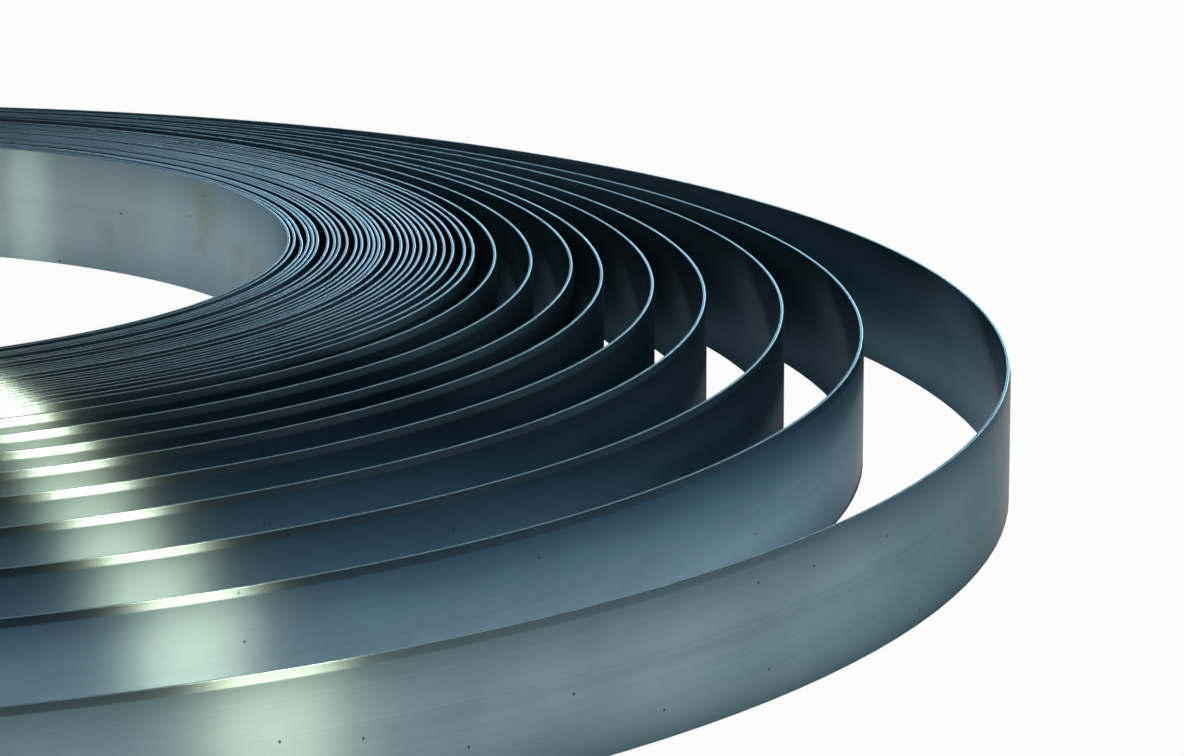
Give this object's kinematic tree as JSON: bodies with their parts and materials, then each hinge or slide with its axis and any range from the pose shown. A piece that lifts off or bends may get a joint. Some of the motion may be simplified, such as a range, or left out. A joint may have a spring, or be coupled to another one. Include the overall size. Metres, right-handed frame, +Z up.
{
  "type": "steel strip coil",
  "caption": "Coil of narrow cold rolled steel strip lying flat, tightly wound round an open bore, with its outer turns sprung loose to one side.",
  "frame": {"origin": "on the bore axis, at the floor that the coil lies on", "axes": "+Z up along the bore axis, -Y towards the loose side where the outer turns fan open, +Y towards the tight side"},
  "size_m": [0.6571, 0.6584, 0.032],
  "materials": {
    "cold_rolled_steel": "bright cold rolled strip, cool grey, faintly oiled, with sheared edges"
  },
  "bodies": {
    "root": {"steel_strip": "cold_rolled_steel"}
  },
  "joints": []
}
